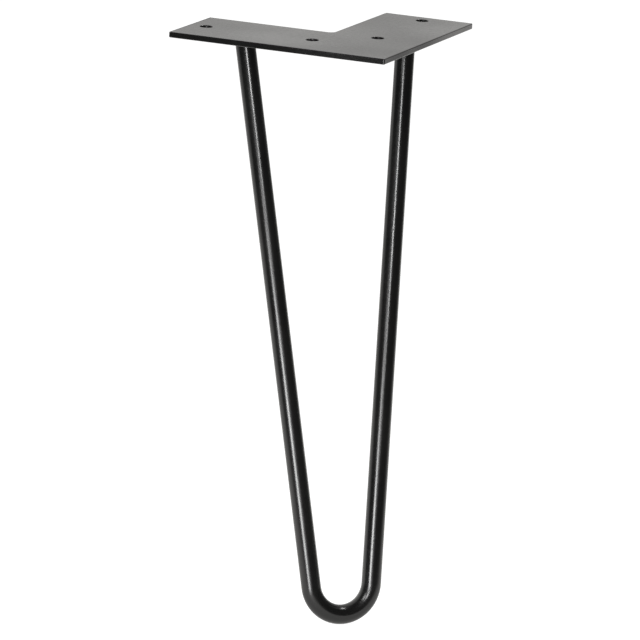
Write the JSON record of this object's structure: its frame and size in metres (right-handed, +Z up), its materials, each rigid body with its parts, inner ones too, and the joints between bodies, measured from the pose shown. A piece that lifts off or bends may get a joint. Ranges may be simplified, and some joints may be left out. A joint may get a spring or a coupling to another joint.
{
  "type": "hairpin table leg",
  "caption": "Bent round-rod hairpin leg welded under an L-shaped screw plate, leaning outwards to carry the corner of a table top.",
  "frame": {"origin": "on the plate's top face, where the centre lines of its two arms cross", "axes": "+Z up, out of the face that lies against the table top; one arm of the plate runs along -X and the other along +Y, so its outer corner points to +X and -Y"},
  "size_m": [0.1208, 0.1208, 0.305],
  "materials": {
    "black_powder_coat": "satin"
  },
  "bodies": {
    "root": {"mounting_plate": "black_powder_coat", "hairpin_rod": "black_powder_coat", "left_weld_bead": "black_powder_coat", "rear_weld_bead": "black_powder_coat"}
  },
  "joints": []
}
